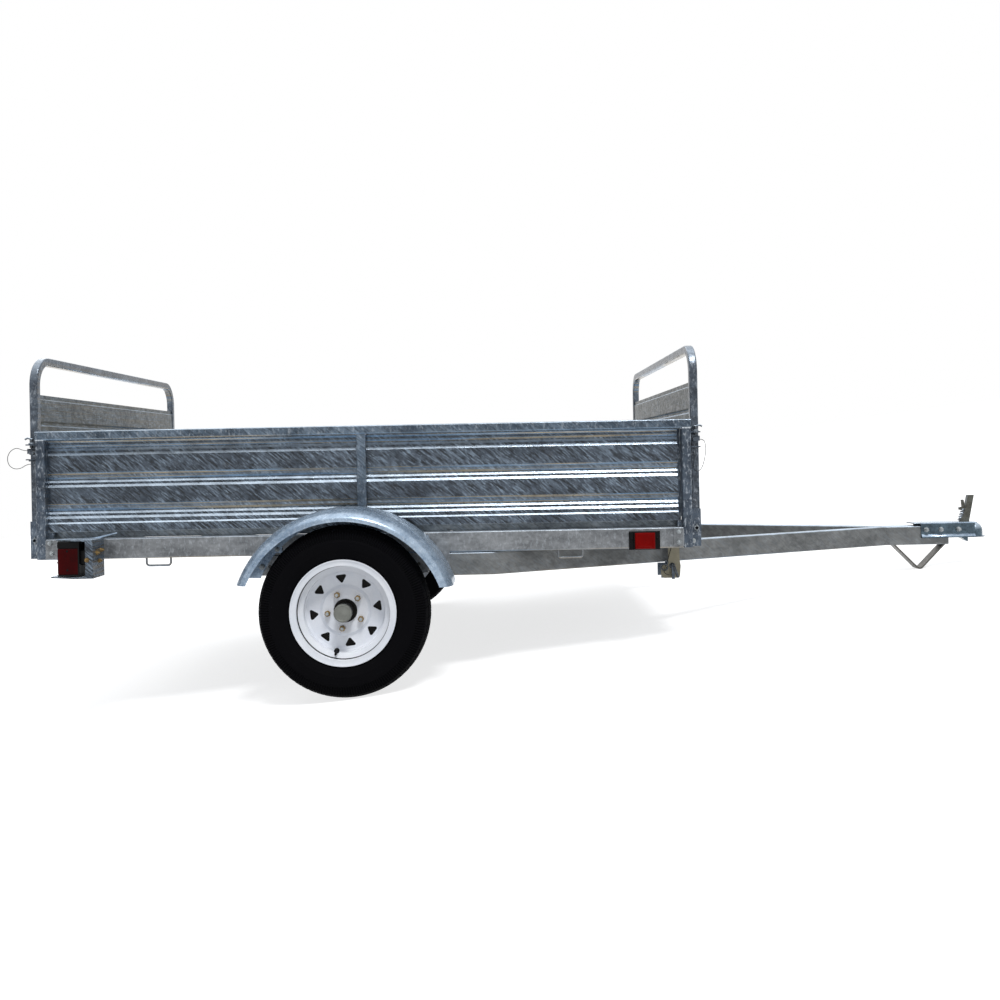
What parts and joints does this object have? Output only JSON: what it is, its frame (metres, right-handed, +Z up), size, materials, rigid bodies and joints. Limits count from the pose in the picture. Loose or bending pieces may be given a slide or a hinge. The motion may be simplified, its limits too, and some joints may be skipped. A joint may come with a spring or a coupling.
{
  "type": "utility trailer",
  "caption": "Single-axle galvanised utility trailer with ribbed sides, hinged end gates and a tilting bed, parked on its wheels and the foot under its tongue.",
  "frame": {"origin": "on the ground, under the centre of the trailer's bounding box", "axes": "+X forward to the coupler, +Y to the trailer's left, +Z up from the ground; stored parked, nose down by 6.86 degrees"},
  "size_m": [3.5848, 2.058, 1.2604],
  "materials": {
    "galvanised_tube": "hot-dip galvanised, blue-grey spangle",
    "galvanised_sheet": "hot-dip galvanised sheet with slanting streaks",
    "gate_sheet": "dull galvanised sheet",
    "mudguard_sheet": "galvanised, smooth",
    "tongue_steel": "matt galvanised",
    "zinc_plate": "zinc plated",
    "running_gear": "black paint",
    "hub_steel": "bare steel hub and cap",
    "white_paint": "white enamel",
    "tyre_rubber": "black rubber",
    "lamp": "red lens in a black housing",
    "steel_wire": "thin stranded steel wire"
  },
  "bodies": {
    "tongue": {"coupler": "zinc_plate", "coupler_latch": "zinc_plate", "tongue_beam_left": "tongue_steel", "tongue_beam_right": "tongue_steel", "tongue_foot": "zinc_plate"},
    "bed": {"axle": "running_gear", "cross_member_1": "galvanised_tube", "cross_member_2": "galvanised_tube", "cross_member_3": "galvanised_tube", "cross_member_front": "galvanised_tube", "cross_member_rear": "galvanised_tube", "floor_front": "galvanised_sheet", "floor_rear": "galvanised_sheet", "lanyard_tilt_left": "steel_wire", "lanyard_tilt_right": "steel_wire", "leaf_spring_left": "running_gear", "leaf_spring_right": "running_gear", "marker_lamp_left": "lamp", "marker_lamp_right": "lamp", "mudguard_left": "mudguard_sheet", "mudguard_right": "mudguard_sheet", "post_front_left": "galvanised_tube", "post_front_right": "galvanised_tube", "post_rear_left": "galvanised_tube", "post_rear_right": "galvanised_tube", "side_panel_front_left": "galvanised_sheet", "side_panel_front_right": "galvanised_sheet", "side_panel_rear_left": "galvanised_sheet", "side_panel_rear_right": "galvanised_sheet", "side_rail_left": "galvanised_tube", "side_rail_right": "galvanised_tube", "tail_lamp_bracket_left": "galvanised_sheet", "tail_lamp_bracket_right": "galvanised_sheet", "tail_lamp_left": "lamp", "tail_lamp_right": "lamp", "tilt_bolt_left": "zinc_plate", "tilt_bolt_right": "zinc_plate", "top_rail_left": "galvanised_tube", "top_rail_right": "galvanised_tube"},
    "wheel_left": {"tyre_left": "tyre_rubber", "rim_left": "white_paint", "hub_left": "hub_steel"},
    "wheel_right": {"tyre_right": "tyre_rubber", "rim_right": "white_paint", "hub_right": "hub_steel"},
    "rear_gate": {"gate_frame_rear": "galvanised_tube", "gate_panel_rear": "gate_sheet", "lanyard_gate_rear_left": "steel_wire", "lanyard_gate_rear_right": "steel_wire"},
    "front_gate": {"gate_frame_front": "galvanised_tube", "gate_panel_front": "gate_sheet", "lanyard_gate_front_left": "steel_wire", "lanyard_gate_front_right": "steel_wire"}
  },
  "joints": [
    {"name": "bed_tilt", "type": "hinge", "parent": "tongue", "child": "bed", "pos_m": [-0.37526, 0, 0.36585], "axis": [0, -1, 0], "range_deg": [0, 25]},
    {"name": "rear_gate_hinge", "type": "hinge", "parent": "bed", "child": "rear_gate", "pos_m": [-1.74092, 0, 0.6348], "axis": [0, -1, 0], "range_deg": [0, 140]},
    {"name": "front_gate_hinge", "type": "hinge", "parent": "bed", "child": "front_gate", "pos_m": [0.49002, 0, 0.36656], "axis": [0, 1, 0], "range_deg": [0, 90]},
    {"name": "wheel_left_spin", "type": "hinge", "parent": "bed", "child": "wheel_left", "pos_m": [-0.70019, 0.954, 0.277], "axis": [0, 1, 0], "continuous": true},
    {"name": "wheel_right_spin", "type": "hinge", "parent": "bed", "child": "wheel_right", "pos_m": [-0.70019, -0.954, 0.277], "axis": [0, 1, 0], "continuous": true}
  ]
}
